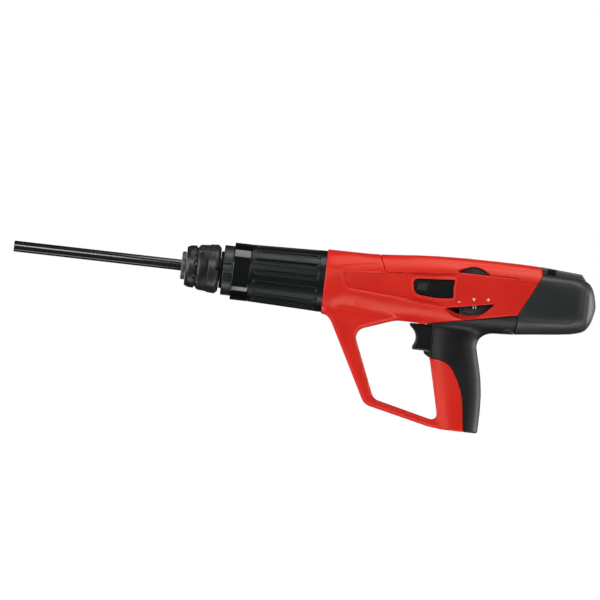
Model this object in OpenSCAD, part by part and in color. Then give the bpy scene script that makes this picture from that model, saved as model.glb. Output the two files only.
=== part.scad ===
// Powder-actuated nail gun with a long insulation-fastener guide tube.
// Lengths are millimetres. Inside the modules x runs back from the muzzle along the barrel
// axis, y points to the tool's right and z up. from_muzzle() shifts that to the row frame,
// whose origin is the middle of the pistol grip.

/* [Barrel and guide tube] */
// Outer diameter of the guide tube
tube_d = 11; // [9:0.5:13]
// Bore of the guide tube, in which the piston rod runs
tube_bore = 7; // [6:0.5:7]
// Bore of the muzzle counterbore, which seats the nail
muzzle_bore = 8.2; // [7.6:0.2:8.6]
// Depth of the muzzle counterbore
muzzle_depth = 40; // [20:5:60]

/* [Return unit] */
// Distance the front unit slides back when it is pressed against the work
contact_stroke = 32; // [20:1:32]
// Outer diameter at the rear of the fluted sleeve
sleeve_d = 61.6; // [58:0.2:61.6]
// Outer diameter at the front of the fluted sleeve
sleeve_front_d = 57; // [54:0.5:60]
// Number of flutes round the sleeve
flutes = 16; // [8:1:20]
// Outer diameter of the piston guide
guide_d = 42; // [38:1:42]
// Bore of the piston guide
guide_bore = 34; // [30:1:34]
// Travel of the piston
piston_stroke = 92; // [60:1:92]

/* [Body] */
// Wall thickness of the plastic shells
wall = 2.5; // [2:0.1:2.8]
// Half width of the hand guard
guard_half = 10.5; // [9:0.5:14]

/* [Controls] */
// Travel of the trigger
trigger_travel = 6; // [3:0.5:6]
// Travel of the side release button
release_travel = 2.5; // [1:0.5:2.5]
// Radius of the power wheel
wheel_r = 23.3; // [20:0.1:23.3]
// Number of knurls on the power wheel
wheel_knurls = 48; // [24:2:60]

/* [Hidden] */
$fn = 64;
grip_x = 456;
grip_z = -85;

// Running clearance between a shaft and the bore it turns or slides in
running = 0.05;
// Places along the barrel, measured back from the muzzle
collar_x = 168.5;
nut_x = 173;
neck_x = 207.3;
socket_x = 210;
ring_x = 220;
sleeve_x = 237;
mouth_x = 312;
flange_x = 317.5;
// The bore in which the front unit slides ends behind the pressed-back flange
bore_end_x = flange_x + contact_stroke + 2.5;
piston_x = 376;
// The rod's tip comes 2 mm out of the muzzle at the end of its stroke
rod_tip_x = piston_stroke - 2;
guide_end_x = 417.5;
frame_x = 402;
feed_x = 449.8;
block_x = 464;
striker_x = 482;
// The cartridge strip's channel
strip_x = 451.2;
strip_long = 11.4;
strip_wide = 9;
feed_wall_y = 1.5;
grip_bottom = -133;
// Power wheel
wheel_x = 461;
wheel_z = 6.75;
wheel_face = -28.4;
wheel_thick = 4.2;
// Side rails of the frame
rail_in = 21.4;
rail_out = 23.8;
// Striker's firing pin and the sear's pin
pin_r = 1.5;
sear_x = 498;
sear_z = -14;

// Corners are [x, z, radius]
BUTTON_WINDOW = [
    [400, 13, 3], [441.8, 16, 1.5], [441, 8, 4], [442, -1.8, 1.5], [424, -3.6, 20],
    [405, -2, 5],
];
LOWER_WINDOW = [[441, -10.2, 1], [483, -3.4, 1.5], [470, -18.5, 12], [451, -18.5, 9]];
UPPER_WINDOW = [[443.5, 25.4, 0.5], [477, 25.4, 0.5], [461, 34, 16]];
GUARD_OUTER = [
    [313, -20, 0], [312.5, -30.2, 0], [321.5, -35.5, 25], [363.9, -116.1, 14],
    [440, -133, 60], [456, grip_bottom, 0], [456, -110, 0], [437, -110, 0], [420, -20, 0],
];
GUARD_HOLE = [
    [344.7, -44.4, 10], [371.6, -109.9, 10], [441.7, -126.3, 7], [425.5, -58, 0],
    [425, -30.2, 0], [389.5, -30.2, 12],
];
TOE_EDGE = [[417.5, -61.9, 0], [424, -62, 0], [444, -64, 26], [461, -92, 60], [466.2, -140, 0]];
SEAM_REAR = [[525, 45, 0], [525, 39.5, 0], [527.4, 28, 0], [507.6, -12, 0]];
SEAM_LOWER = [[507.6, -12, 0], [424.6, -29, 0], [417.5, -31.2, 0]];
COVER = [
    [365, 45, 0], [365.5, 34, 0], [372.5, 16.3, 2], [441, 21, 2], [446, 24.6, 0],
    [503, 24.6, 0], [504.5, 21, 0], [540, 21, 0], [540, 45, 0],
];
// Screws across the tool, [x, z, y of the head's top, length]
HOUSING_SCREWS = [
    [340, -48, 9.5, 16], [368.3, -110.8, 9.5, 14], [430, -127.3, 9.5, 14], [497, 17, 30, 50],
];
GRIP_SCREWS = [[470.5, -66, 14.5, 24], [473, -120, 14.5, 24], [487, -19.6, 27, 46]];
// The two screws that hold the rear cap from below, side by side
CAP_SCREW_X = 500;
CAP_SCREW_Y = [-15, 15];
// Body sections, [x, top, bottom, half width, squareness]
BODY = [
    [312, 32.6, -32.6, 32.6, 2], [322, 32.8, -32.7, 32.8, 2.05],
    [338, 32.8, -32.8, 33.6, 2.2], [356, 33, -32.8, 34, 2.3], [372, 33.9, -32, 34, 2.35],
    [390, 35.2, -30.5, 34, 2.4], [402, 36.4, -30.4, 34, 2.5], [425, 37.9, -31.2, 34, 2.5],
    [450, 38.9, -32.8, 34, 2.5],
    [480, 39.3, -33, 33.6, 2.5], [505, 39.3, -31.4, 33, 2.5], [527, 38.8, -28.9, 32, 2.6],
];
CAP = [
    [505, 32.2, -31.4, 33, 2.5], [527, 32.2, -28.9, 32, 2.6], [550, 32, -26.5, 31, 2.7],
    [567, 31.2, -23.6, 29.4, 2.8], [575, 28.4, -20.8, 27, 2.8], [579.5, 24, -16, 23.6, 2.7],
    [582.5, 14, -8, 17, 2.4], [584, 8, 0, 8, 2.2],
];
// Grip sections, [z, front, rear, half width]
GRIP = [
    [-24, 424, 486, 17.5], [-34, 423.5, 479, 17], [-40, 423.6, 472.4, 17],
    [-47, 424, 470.6, 17.3], [-57, 425, 473, 17.8], [-68, 427.5, 476, 18],
    [-80, 430.4, 478.7, 18], [-95, 434, 480.8, 17.8], [-112, 438, 481.6, 17.5],
    [-133, 443, 481.4, 17.2],
];

// ---------- helpers ----------

function unit(v) = v / norm(v);

// The arc that rounds corner b between neighbours a and c
function corner(a, b, c, r) =
    let (p = [b[0], b[1]], u = unit([a[0], a[1]] - p), v = unit([c[0], c[1]] - p))
    let (half = acos(u * v) / 2, centre = p + unit(u + v) * r / sin(half))
    let (from = p + u * r / tan(half) - centre, to = p + v * r / tan(half) - centre)
    let (a0 = atan2(from[1], from[0]), turn = atan2(to[1], to[0]) - a0)
    let (sweep = turn > 180 ? turn - 360 : turn < -180 ? turn + 360 : turn)
    let (steps = max(3, ceil(abs(sweep) / 12)))
    [for (i = [0:steps]) centre + r * [cos(a0 + sweep * i / steps), sin(a0 + sweep * i / steps)]];

// A closed outline from corners [x, z, radius]
function outline(pts) = [
    for (i = [0:len(pts) - 1])
        let (n = len(pts), b = pts[i])
        each b[2] == 0 ? [[b[0], b[1]]] : corner(pts[(i + n - 1) % n], b, pts[(i + 1) % n], b[2])
];

// An open line with its inner corners rounded
function bend(pts) = [
    for (i = [0:len(pts) - 1])
        each pts[i][2] == 0 ? [[pts[i][0], pts[i][1]]] : corner(pts[i - 1], pts[i], pts[i + 1], pts[i][2])
];

// A superellipse of half sizes a and b, centred at [0, c]
function oval(a, b, power, c = 0, steps = 32) = [
    for (i = [0:steps - 1])
        let (t = 360 * (i + 0.5) / steps, k = 2 / power)
        [a * sign(cos(t)) * pow(abs(cos(t)), k), c + b * sign(sin(t)) * pow(abs(sin(t)), k)]
];

module from_muzzle() {
    translate([-grip_x, 0, -grip_z]) children();
}

module along_x(x = 0) {
    translate([x, 0, 0]) rotate([0, 90, 0]) children();
}

// A cylinder along y at [x, z], from y0 to y1
module cross_pin(x, z, r, y0, y1) {
    translate([x, y0, z]) rotate([-90, 0, 0]) cylinder(r = r, h = y1 - y0);
}

// A tube along x
module tube(x0, x1, r_out, r_in = 0) {
    along_x(x0) difference() {
        cylinder(r = r_out, h = x1 - x0);
        if (r_in > 0) translate([0, 0, -1]) cylinder(r = r_in, h = x1 - x0 + 2);
    }
}

// A turned solid about x, from [x, radius] points
module turned(pts) {
    rotate([0, 90, 0]) rotate_extrude() polygon([for (p = pts) [p[1], p[0]]]);
}

// An outline in the side view, between two y values
module side_plate(pts, y0, y1) {
    translate([0, y1, 0]) rotate([90, 0, 0]) linear_extrude(y1 - y0) polygon(pts);
}

module box(x0, x1, y0, y1, z0, z1) {
    translate([x0, y0, z0]) cube([x1 - x0, y1 - y0, z1 - z0]);
}

// A coil of round wire along z, its ends left open
module coil(r, wire, turns, height) {
    sides = 6;
    rings = 12 * turns;
    pitch = (height - wire) / turns;
    slope = atan(pitch / (2 * PI * r));
    points = [
        for (i = [0:rings]) let (a = 360 * i / 12)
            for (j = [0:sides - 1]) let (b = 360 * j / sides)
                let (out = wire / 2 * cos(b), up = wire / 2 * sin(b))
                [
                    (r + out) * cos(a) + up * sin(slope) * sin(a),
                    (r + out) * sin(a) - up * sin(slope) * cos(a),
                    wire / 2 + pitch * i / 12 + up * cos(slope),
                ],
    ];
    faces = [
        [for (j = [0:sides - 1]) j],
        for (i = [0:rings - 1]) for (j = [0:sides - 1])
            [i * sides + j, (i + 1) * sides + j,
             (i + 1) * sides + (j + 1) % sides, i * sides + (j + 1) % sides],
        [for (j = [0:sides - 1]) rings * sides + sides - 1 - j],
    ];
    polyhedron(points, faces, convexity = 10);
}

// One thin slice of a body row, moved in from the outside by inset
module body_slice(row, inset) {
    half = (row[1] - row[2]) / 2;
    back = row[0] > 560 ? inset : 0;
    translate([row[0] - back, 0, 0]) rotate([90, 0, 90]) linear_extrude(0.05)
        polygon(oval(row[3] - inset, half - inset, row[4], (row[1] + row[2]) / 2));
}

module body_skin(rows, inset = 0) {
    for (i = [0:len(rows) - 2]) hull() {
        body_slice(rows[i], inset);
        body_slice(rows[i + 1], inset);
    }
}

module grip_slice(row, inset) {
    translate([(row[1] + row[2]) / 2, 0, row[0]]) linear_extrude(0.05)
        polygon(oval((row[2] - row[1]) / 2 - inset, row[3] - inset, 2.5, 0, 28));
}

module grip_skin(inset = 0) {
    for (i = [0:len(GRIP) - 2]) hull() {
        grip_slice(GRIP[i], inset);
        grip_slice(GRIP[i + 1], inset);
    }
}

// The hand guard: a plate with softened edges
module guard() {
    soften = 2.2;
    for (layer = [[guard_half - soften, 0], [guard_half, soften]])
        translate([0, layer[0], 0]) rotate([90, 0, 0]) linear_extrude(2 * layer[0])
            offset(delta = -layer[1]) difference() {
                polygon(outline(GUARD_OUTER));
                polygon(outline(GUARD_HOLE));
            }
}

// The lip under the trigger
module trigger_lip() {
    side_plate(outline([[418, -57.6, 0], [420.6, -61, 2], [428, -64, 0], [432, -57.6, 0]]), -9, 9);
}

// Everything that the plastic shells leave free inside
module cavities() {
    along_x(mouth_x - 5) cylinder(r = sleeve_d / 2 + 0.3, h = bore_end_x - mouth_x + 5);
    difference() {
        body_skin([for (r = BODY) if (r[0] > 330) r], wall);
        // The floor over the hand opening stays whole
        box(330, 470, -40, 40, -60, -29.4);
    }
    body_skin(CAP, wall);
    difference() {
        grip_skin(3);
        box(400, 500, -30, 30, -140, -130);
    }
    box(feed_x - 0.3, strip_x + strip_long + 1.6, -6.3, 6.3, -140, 45);
    box(415, 432, -9.3, 9.3, -57.4, -30.6);
    // Slot for the trigger's bar, which ends at 434 and moves back with the trigger
    box(425, 434 + trigger_travel + 2, 5.5, 9.3, -57.4, -20);
    translate([wheel_x, 0, wheel_z]) rotate([90, 0, 0])
        cylinder(r = wheel_r + 0.5, h = 29, $fn = 48);
}

// Bosses along the screws, from wall to wall
module bosses(places, r) {
    for (s = places) cross_pin(s[0], s[1], r, 0.4 - s[2], s[2] - 0.4, $fn = 24);
}

module screw_holes(places) {
    for (s = places) {
        cross_pin(s[0], s[1], 1.5, s[2] - s[3] - 2, 40, $fn = 24);
        cross_pin(s[0], s[1], 3.3, s[2] - 2.2, 40, $fn = 24);
    }
}

// A socket-head screw along z with its head down, standing on z = 0
module screw(length) {
    difference() {
        union() {
            cylinder(r = 3, h = 2.2);
            cylinder(r = 1.45, h = length);
        }
        translate([0, 0, -1]) cylinder(r = 1.4, h = 2.2, $fn = 6);
    }
}

module cross_screws(places) {
    for (s = places) translate([s[0], s[2], s[1]]) rotate([90, 0, 0]) screw(s[3]);
}

// The part of the side view in front of and above the seams
module red_region() {
    side_plate(concat(
        [[300, 60], [525, 60]],
        [for (p = SEAM_REAR) [p[0], p[1]]],
        [for (i = [1:2]) [SEAM_LOWER[i][0], SEAM_LOWER[i][1]]],
        bend(TOE_EDGE),
        [[300, -140]]
    ), -60, 60);
}

module grip_region() {
    side_plate(concat(
        [for (p = SEAM_LOWER) [p[0], p[1]]],
        bend(TOE_EDGE),
        [[500, -140], [506.3, -40], [506.3, -30]]
    ), -60, 60);
}

module cap_region() {
    side_plate([
        [507.6, -12], [527.4, 28], [525, 39.5], [525, 60], [600, 60], [600, -60],
        [506.3, -60], [506.3, -30],
    ], -60, 60);
}

module cover_region() {
    side_plate(outline(COVER), -60, 60);
}

module half_space(side) {
    box(290, 600, side < 0 ? -60 : 0, side < 0 ? 0 : 60, -150, 60);
}

// ---------- plastic shells ----------

module housing_half(side) {
    intersection() {
        difference() {
            union() {
                difference() {
                    union() {
                        body_skin(BODY);
                        grip_skin();
                        guard();
                    }
                    cavities();
                }
                bosses([HOUSING_SCREWS[3]], 3.6);
            }
            screw_holes(HOUSING_SCREWS);
            cover_region();
            side_plate(outline(BUTTON_WINDOW), -45, -20);
            side_plate(outline(LOWER_WINDOW), -45, -20);
        }
        red_region();
        half_space(side);
    }
}

module housing_left() {
    color([0.8, 0.11, 0.09]) from_muzzle() housing_half(-1);
}

module housing_right() {
    color([0.8, 0.11, 0.09]) from_muzzle() housing_half(1);
}

module top_cover() {
    color([0.85, 0.15, 0.11]) from_muzzle() intersection() {
        difference() {
            body_skin(BODY);
            cavities();
            side_plate(outline(UPPER_WINDOW), -45, -20);
        }
        red_region();
        cover_region();
    }
}

module grip_half(side) {
    intersection() {
        difference() {
            union() {
                difference() {
                    union() {
                        body_skin(BODY);
                        grip_skin();
                        trigger_lip();
                    }
                    cavities();
                }
                bosses(GRIP_SCREWS, 2.9);
            }
            screw_holes(GRIP_SCREWS);
            cap_screw_holes();
        }
        grip_region();
        half_space(side);
    }
}

module grip_left() {
    color([0.15, 0.15, 0.16]) from_muzzle() grip_half(-1);
}

module grip_right() {
    color([0.15, 0.15, 0.16]) from_muzzle() grip_half(1);
}

module cap_screw_holes() {
    for (y = CAP_SCREW_Y) translate([CAP_SCREW_X, y, -40]) {
        cylinder(r = 1.5, h = 22, $fn = 24);
        cylinder(r = 3.3, h = 11.8, $fn = 24);
    }
}

// The cap, with two tongues that reach forward into the grip's shells
module rear_cap() {
    color([0.19, 0.19, 0.2]) from_muzzle() difference() {
        union() {
            intersection() {
                difference() {
                    body_skin(CAP);
                    body_skin(CAP, wall);
                }
                cap_region();
            }
            for (y = CAP_SCREW_Y) {
                box(494, 513, y - 3.5, y + 3.5, -24.8, -19);
                box(508.6, 513, y - 3.5, y + 3.5, -26.4, -24);
            }
        }
        cap_screw_holes();
    }
}

// ---------- status strip on the rear cap ----------

module status_profile(inset = 0) {
    side_plate(outline([
        [525.3, 39 - inset, 0], [566.5, 36.9 - inset, 2.5], [570.5, 31.6, 0.5],
        [569, 29.6, 0], [526.6, 30.6, 0],
    ]), -15 + inset, 15 - inset);
}

module status_module() {
    color([0.24, 0.24, 0.25]) from_muzzle() difference() {
        status_profile();
        body_skin([for (i = [0:4]) CAP[i]]);
        box(532.7, 540.8, -16, -8, 32.3, 38);
        box(544, 562, -8, 8, 36, 40);
    }
}

module status_lens() {
    color([0.05, 0.06, 0.07]) from_muzzle() difference() {
        box(544.1, 561.9, -7.9, 7.9, 36, 40);
        translate([525.3, 0, 38.9]) rotate([0, 2.92, 0]) box(0, 60, -20, 20, 0, 10);
    }
}

module status_button() {
    color([0.03, 0.03, 0.03]) from_muzzle() box(533, 540.5, -15.2, -12, 32.8, 37.7);
}

module controller_board() {
    color([0.1, 0.35, 0.2]) from_muzzle() {
        box(530, 565, -13, 13, 25, 26.6);
        box(538, 548, -5, 5, 26.6, 28.2);
    }
}

module battery() {
    color([0.75, 0.75, 0.78]) from_muzzle() translate([548, 0, 21.7]) cylinder(r = 10, h = 3.2);
}

// ---------- front guide ----------

module guide_tube() {
    r = tube_d / 2;
    color([0.08, 0.1, 0.1]) from_muzzle() difference() {
        turned([
            [0, 0], [0, r - 0.6], [0.6, r], [collar_x, r], [collar_x, r - 0.2],
            [212, r - 0.2], [212, 0],
        ]);
        tube(-1, 213, tube_bore / 2);
        tube(-1, muzzle_depth, muzzle_bore / 2);
    }
}

module tube_collar() {
    color([0.12, 0.12, 0.12]) from_muzzle() difference() {
        turned([[collar_x, 0], [collar_x, 13], [collar_x + 1, 14], [nut_x - 0.4, 14], [nut_x - 0.4, 0]]);
        tube(collar_x - 1, nut_x, tube_d / 2 - 0.2);
    }
}

// Knurled collar that locks the guide on the tool; three shallow label pockets round it
module guide_nut() {
    color([0.16, 0.16, 0.16]) from_muzzle() difference() {
        turned([
            [nut_x, 0], [nut_x, 19], [nut_x + 1.5, 20.6], [182.5, 21.3], [184, 21.6],
            [186, 23.3], [203.5, 24.6], [205.6, 24], [207, 22], [207, 0],
        ]);
        tube(nut_x - 1, 208, 12 + running);
        for (a = [0:120:240]) rotate([a + 90, 0, 0]) translate([185.5, -14, 21.9])
            cube([9, 28, 6]);
        for (a = [0:45:315]) rotate([a + 22.5, 0, 0]) translate([176, 0, 24.2])
            along_x() cylinder(r = 4, h = 7);
    }
}

module guide_base() {
    color([0.3, 0.3, 0.31]) from_muzzle() difference() {
        union() {
            tube(nut_x, 236, 12);
            tube(neck_x, socket_x, 18.5);
        }
        tube(nut_x - 1, 212, tube_d / 2 - 0.2);
        tube(211, 237, tube_bore / 2 + 0.1);
    }
}

// Castellated socket that takes the guide's base
module guide_socket() {
    color([0.2, 0.21, 0.21]) from_muzzle() difference() {
        union() {
            tube(socket_x, ring_x, 25);
            tube(ring_x, 240, guide_d / 2 - 0.5);
            tube(240, 250, guide_bore / 2 - 0.05);
        }
        tube(socket_x - 1, 236, 12);
        tube(235, 251, tube_bore / 2 + 0.1);
        for (a = [8:90:278]) rotate([-a, 0, 0]) box(socket_x - 1, ring_x - 2.5, -26, -22.6, -3, 3);
    }
}

module front_ring() {
    color([0.02, 0.02, 0.02]) from_muzzle() difference() {
        turned([
            [ring_x, 0], [ring_x, 28], [ring_x + 0.6, 28.6], [sleeve_x - 0.6, 28.6],
            [sleeve_x, 28], [sleeve_x, 0],
        ]);
        tube(ring_x - 1, sleeve_x + 1, 25.5);
    }
}

module fluted_sleeve() {
    slope = atan((sleeve_d - sleeve_front_d) / 2 / (mouth_x - sleeve_x));
    color([0.13, 0.14, 0.15]) from_muzzle() difference() {
        turned([
            [sleeve_x, 0], [sleeve_x, sleeve_front_d / 2], [mouth_x - 2, sleeve_d / 2],
            [314.2, sleeve_d / 2], [314.2, 0],
        ]);
        tube(sleeve_x - 1, 316, 25.5);
        for (i = [0:flutes - 1]) rotate([90 - 5 + 360 * i / flutes, 0, 0])
            translate([242, 0, 0]) rotate([0, -slope, 0])
                box(0, 63, -1.5, 1.5, sleeve_front_d / 2 - 0.9, 34);
    }
}

module unit_carrier() {
    color([0.55, 0.56, 0.58]) from_muzzle() difference() {
        union() {
            tube(ring_x, flange_x, 25.5);
            tube(314.3, flange_x, 30);
        }
        tube(ring_x - 1, flange_x + 1, guide_d / 2);
    }
}

// ---------- piston unit ----------

// Round tube with a chamber block at the rear and a ring of exhaust slots
module piston_guide() {
    chamber_r = 3.6;
    color([0.6, 0.61, 0.63]) from_muzzle() difference() {
        tube(240, guide_end_x, guide_d / 2);
        tube(239, 400, guide_bore / 2);
        tube(405.5, guide_end_x + 1, chamber_r);
        tube(399, 406, 1.5);
        for (a = [0:60:300]) rotate([a, 0, 0]) box(322, 346, -2, 2, 15, 25);
    }
}

module stop_ring() {
    color([0.5, 0.5, 0.52]) from_muzzle() tube(250, 262, guide_bore / 2 - 0.05, 6);
}

module piston_buffer() {
    color([0.1, 0.1, 0.1]) from_muzzle() tube(262, 282, guide_bore / 2 - 0.2, 6);
}

module piston() {
    head_r = guide_bore / 2 - running;
    color([0.65, 0.66, 0.68]) from_muzzle() turned([
        [rod_tip_x, 0], [rod_tip_x, tube_bore / 2 - 0.6],
        [rod_tip_x + 0.4, tube_bore / 2 - 0.2], [piston_x - 4, tube_bore / 2 - 0.2],
        [piston_x, 8], [piston_x, head_r], [381, head_r], [381, head_r - 2],
        [383.2, head_r - 2], [383.2, head_r], [387, head_r], [387, head_r - 2],
        [389.2, head_r - 2], [389.2, head_r], [396, head_r], [396, 0],
    ]);
}

module piston_rings() {
    r = guide_bore / 2 - 0.03;
    color([0.35, 0.3, 0.25]) from_muzzle() {
        tube(381.1, 383.1, r, r - 1.9);
        tube(387.1, 389.1, r, r - 1.9);
    }
}

module return_spring() {
    color([0.7, 0.7, 0.72]) from_muzzle() along_x(flange_x + 0.1)
        coil(24.2, 3, 9, frame_x - flange_x - 0.2);
}

// ---------- frame, cartridge feed and striker ----------

// Front ring, two side rails and the breech block in one piece
module main_frame() {
    color([0.45, 0.46, 0.48]) from_muzzle() difference() {
        union() {
            intersection() {
                tube(frame_x, frame_x + 10, 27);
                box(frame_x, frame_x + 10, -rail_out, rail_out, -30, 30);
            }
            for (side = [-1, 1])
                box(frame_x + 10, block_x, side < 0 ? -rail_out : rail_in,
                    side < 0 ? -rail_in : rail_out, -8, 12);
            box(block_x, striker_x, -rail_out, rail_out, -18, 18);
            // Cheeks that hold the sear's pin
            for (y = [-12, 10]) box(striker_x, 503, y, y + 2, -16.4, -2);
        }
        tube(frame_x - 1, frame_x + 11, guide_d / 2 + running);
        tube(block_x - 1, striker_x + 1, pin_r + running);
        cross_pin(wheel_x, wheel_z, 2, -30, 0);
        cross_pin(sear_x, sear_z, pin_r, -13, 13);
    }
}

// The channel that leads the cartridge strip from the grip's foot up past the breech is
// made of two side rails with a front and a rear plate between them
module cartridge_rails() {
    half = strip_wide / 2;
    color([0.28, 0.28, 0.3]) from_muzzle() difference() {
        for (y = [-half - feed_wall_y, half])
            box(feed_x, strip_x + strip_long + 1.2, y, y + feed_wall_y, grip_bottom + 0.5, 38.4);
        box(454.8, 459.4, -7, -4, -42, -24);
    }
}

module cartridge_plates() {
    x1 = strip_x + strip_long;
    half = strip_wide / 2;
    color([0.34, 0.34, 0.36]) from_muzzle() difference() {
        for (x = [[feed_x, strip_x], [x1, x1 + 1.2]])
            box(x[0], x[1], -half, half, grip_bottom + 0.5, 38.4);
        tube(feed_x - 1, strip_x + 1, 4.2);
        tube(x1 - 1, x1 + 2, pin_r + running);
    }
}

// Pawl that lifts the strip by one cartridge as the tool is pressed on
module feed_pawl() {
    color([0.6, 0.6, 0.62]) from_muzzle() {
        box(453, 461, -9.2, -6.4, -60, -30);
        box(455.6, 458.6, -6.4, -4.9, -40, -36);
    }
}

module striker_tube() {
    color([0.5, 0.5, 0.52]) from_muzzle() difference() {
        tube(striker_x, 512, 9, 6.1);
        box(484, 499, -2.6, 2.6, -12, 0);
    }
}

module striker_plug() {
    color([0.3, 0.3, 0.32]) from_muzzle() union() {
        tube(512, 515, 9);
        tube(509, 512, 6);
    }
}

module striker() {
    color([0.7, 0.7, 0.72]) from_muzzle() turned([
        [block_x + 0.1, 0], [block_x + 0.1, 1], [block_x + 0.6, pin_r], [striker_x + 1, pin_r],
        [striker_x + 1, 5.9], [striker_x + 10, 5.9], [striker_x + 10, 2], [500, 2], [500, 0],
    ]);
}

module striker_spring() {
    color([0.72, 0.72, 0.74]) from_muzzle() along_x(striker_x + 10.1) coil(4, 1.4, 5, 16.7);
}

module sear() {
    color([0.42, 0.42, 0.44]) from_muzzle() difference() {
        union() {
            side_plate([
                [488.6, -10.5], [488.6, -6.8], [491.4, -6.8], [492.4, -9.6], [501.5, -11],
                [501.5, -17], [499.4, -28.4], [496.6, -28.4], [494.8, -16],
            ], -2.2, 2.2);
            box(496.6, 499.2, -2.2, 9, -28.4, -26.2);
        }
        cross_pin(sear_x, sear_z, pin_r + running, -5, 5);
    }
}

module sear_pin() {
    color([0.7, 0.7, 0.72]) from_muzzle() cross_pin(sear_x, sear_z, pin_r, -12, 12);
}

// ---------- controls ----------

module trigger() {
    color([0.05, 0.05, 0.06]) from_muzzle() difference() {
        union() {
            side_plate(outline([
                [401.6, -31, 1], [424, -31, 0], [424, -57.2, 0], [406.4, -57.2, 1.2],
            ]), -8.8, 8.8);
            box(424, 434, -6, 6, -53, -36);
        }
        // The finger's hollow
        cross_pin(396.4, -46.5, 12.2, -10, 10);
        // The spring's seat
        translate([430, 0, -44]) along_x() cylinder(r = 4.4, h = 5);
    }
}

module trigger_bar() {
    color([0.55, 0.55, 0.57]) from_muzzle() union() {
        box(426, 434, 6, 8.6, -46, -24);
        box(434, 488, 6.8, 8.6, -28.2, -24);
        box(488, 495.5, 6.8, 8.6, -28.2, -26.6);
    }
}

module trigger_spring() {
    color([0.72, 0.72, 0.74]) from_muzzle() translate([0, 0, -44]) along_x(430.1)
        coil(3.4, 1, 7, 19.5);
}

module release_button() {
    color([0.04, 0.05, 0.05]) from_muzzle() union() {
        difference() {
            side_plate([for (p = outline(BUTTON_WINDOW)) button_shrink(p)], -33.4, -29);
            // Room for the power wheel behind
            box(433, 445, wheel_face - release_travel - 0.3, -28, -10, 20);
        }
        for (x = [405.5:2.4:415.2]) box(x, x + 1, -34, -33.4, 1, 11);
    }
}

// A window point drawn in towards the button's middle, so that the button clears its window
function button_shrink(p) =
    let (middle = [421, 6.3], d = p - middle)
    middle + [d[0] * (1 - 0.4 / 21), d[1] * (1 - 0.4 / 9)];

module release_spring() {
    color([0.72, 0.72, 0.74]) from_muzzle() translate([424, -28.9, 4]) rotate([-90, 0, 0])
        coil(3, 0.7, 3, 5);
}

module power_wheel() {
    color([0.1, 0.1, 0.1]) from_muzzle() translate([wheel_x, wheel_face + wheel_thick, wheel_z])
        rotate([90, 0, 0]) difference() {
            linear_extrude(wheel_thick) polygon([
                for (i = [0:4 * wheel_knurls - 1])
                    let (a = 360 * i / (4 * wheel_knurls), deep = i % 4 < 2 ? 0 : 0.9)
                    (wheel_r - deep) * [cos(a), sin(a)]
            ]);
            translate([0, 0, -1]) cylinder(r = 2 + running, h = wheel_thick + 2);
        }
}

module wheel_axle() {
    color([0.7, 0.7, 0.72]) from_muzzle() union() {
        cross_pin(wheel_x, wheel_z, 2, wheel_face - 0.2, -rail_in);
        cross_pin(wheel_x, wheel_z, 4, wheel_face - 1.2, wheel_face - 0.2);
    }
}

// ---------- fasteners ----------

module housing_screws() {
    color([0.3, 0.3, 0.3]) from_muzzle() cross_screws(HOUSING_SCREWS);
}

module grip_screws() {
    color([0.3, 0.3, 0.3]) from_muzzle() cross_screws(GRIP_SCREWS);
}

module cap_screws() {
    color([0.3, 0.3, 0.3]) from_muzzle()
        for (y = CAP_SCREW_Y) translate([CAP_SCREW_X, y, -30.4]) screw(11);
}

guide_tube();
tube_collar();
guide_nut();
guide_base();
guide_socket();
front_ring();
fluted_sleeve();
unit_carrier();
piston_guide();
stop_ring();
piston_buffer();
piston();
piston_rings();
return_spring();
main_frame();
cartridge_rails();
cartridge_plates();
feed_pawl();
striker_tube();
striker_plug();
striker();
striker_spring();
sear();
sear_pin();
trigger();
trigger_bar();
trigger_spring();
release_button();
release_spring();
power_wheel();
wheel_axle();
housing_left();
housing_right();
top_cover();
grip_left();
grip_right();
rear_cap();
status_module();
status_lens();
status_button();
controller_board();
battery();
housing_screws();
grip_screws();
cap_screws();
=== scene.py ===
"""The looks of the powder-actuated nail gun.

The moulded shells and controls are signed-distance shapes: a field of distances is worked out on
a block of points, meshed where it is zero, and shaded with the field's own slope. The turned
parts are swept profiles with relief. Shapes are in millimetres from the muzzle along the barrel
axis (x back, y to the tool's right, z up), and place() puts them in the row frame.
"""

import math

import bpy
import numpy as np
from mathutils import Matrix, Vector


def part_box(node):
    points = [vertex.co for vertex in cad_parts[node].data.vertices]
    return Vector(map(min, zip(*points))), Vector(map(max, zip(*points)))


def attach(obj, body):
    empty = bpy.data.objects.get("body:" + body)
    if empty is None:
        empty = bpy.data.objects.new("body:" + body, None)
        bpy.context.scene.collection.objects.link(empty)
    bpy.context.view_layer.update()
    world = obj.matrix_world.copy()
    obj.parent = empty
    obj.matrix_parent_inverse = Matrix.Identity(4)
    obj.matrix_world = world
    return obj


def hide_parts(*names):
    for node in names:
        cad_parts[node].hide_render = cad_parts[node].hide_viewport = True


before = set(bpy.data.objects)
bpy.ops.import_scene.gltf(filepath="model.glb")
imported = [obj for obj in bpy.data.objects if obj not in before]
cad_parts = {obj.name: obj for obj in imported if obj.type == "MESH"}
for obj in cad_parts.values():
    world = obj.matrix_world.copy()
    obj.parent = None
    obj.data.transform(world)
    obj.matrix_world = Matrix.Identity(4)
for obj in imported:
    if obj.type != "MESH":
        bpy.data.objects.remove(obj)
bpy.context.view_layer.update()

import openvdb
from mathutils import Matrix, Vector

MM = 0.001
# Degrees between the points of an arc, and points along a table of rows when it is eased
ARC_STEP = 8
EASING_STEPS = 800
TUBE_LOW, TUBE_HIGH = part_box("guide_tube")
ORIGIN = np.array([TUBE_LOW.x, 0.0, (TUBE_LOW.z + TUBE_HIGH.z) / 2])


def place(points):
    """Points in millimetres from the muzzle, in the row frame."""
    return np.asarray(points, float) * MM + ORIGIN


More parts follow.
